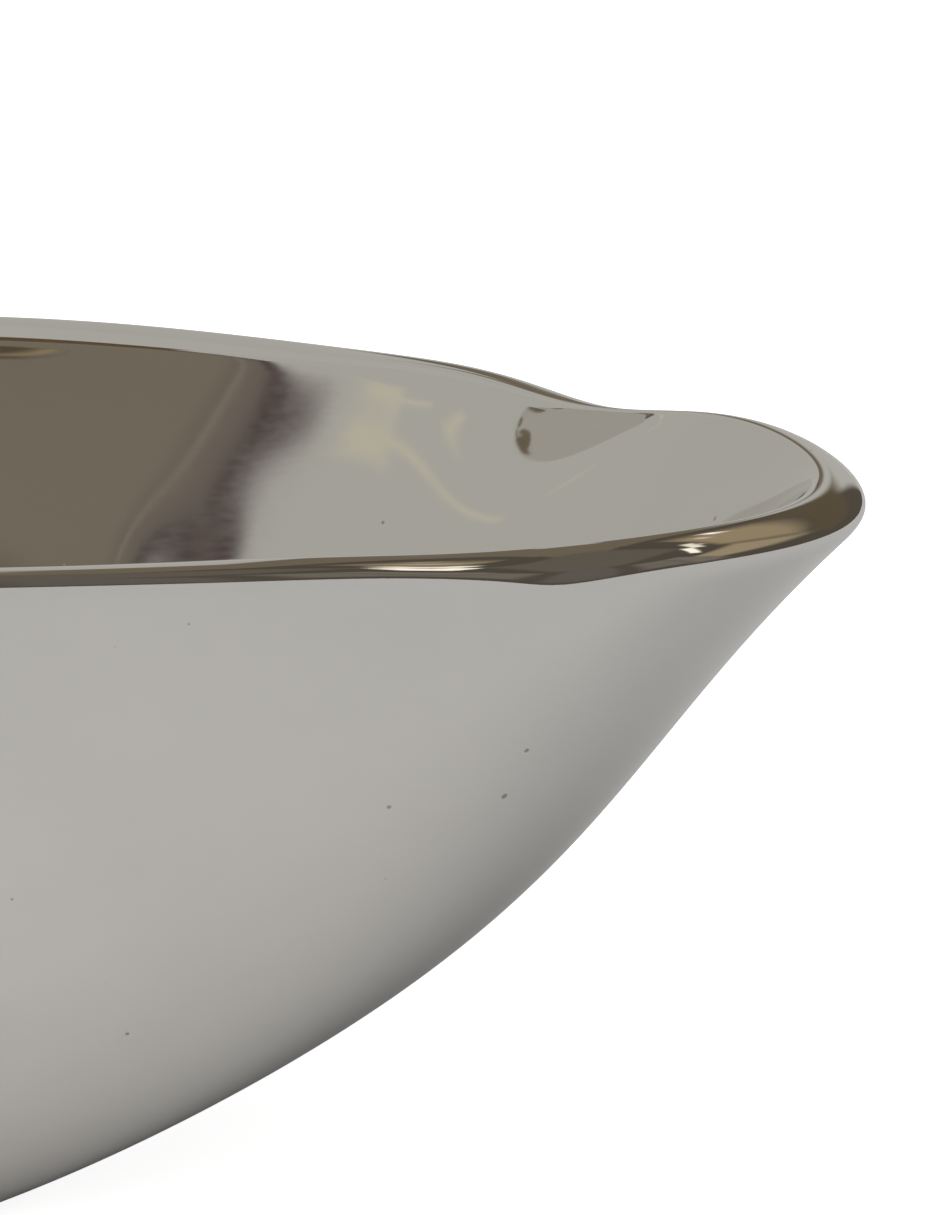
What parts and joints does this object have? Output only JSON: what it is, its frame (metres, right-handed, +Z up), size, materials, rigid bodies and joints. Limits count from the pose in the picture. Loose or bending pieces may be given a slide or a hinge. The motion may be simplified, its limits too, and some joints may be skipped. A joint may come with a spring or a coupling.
{
  "type": "bowl",
  "caption": "Long boat-shaped polished cast aluminium bowl with a thick rounded rim, a pinched pouring lip at each end and a small flat foot on rubber pads.",
  "frame": {"origin": "on the table under the middle of the bowl, level with the undersides of the rubber feet", "axes": "+X along the bowl towards one lip, +Y across the bowl, +Z up out of the bowl's mouth"},
  "size_m": [0.3232, 0.19, 0.1282],
  "materials": {
    "polished_cast_aluminium": "mirror-polished by hand, with fine buffing haze and a few casting pits",
    "grey_rubber": "matt moulded"
  },
  "bodies": {
    "root": {"cast_bowl": "polished_cast_aluminium", "rubber_foot_1": "grey_rubber", "rubber_foot_2": "grey_rubber", "rubber_foot_3": "grey_rubber", "rubber_foot_4": "grey_rubber"}
  },
  "joints": []
}
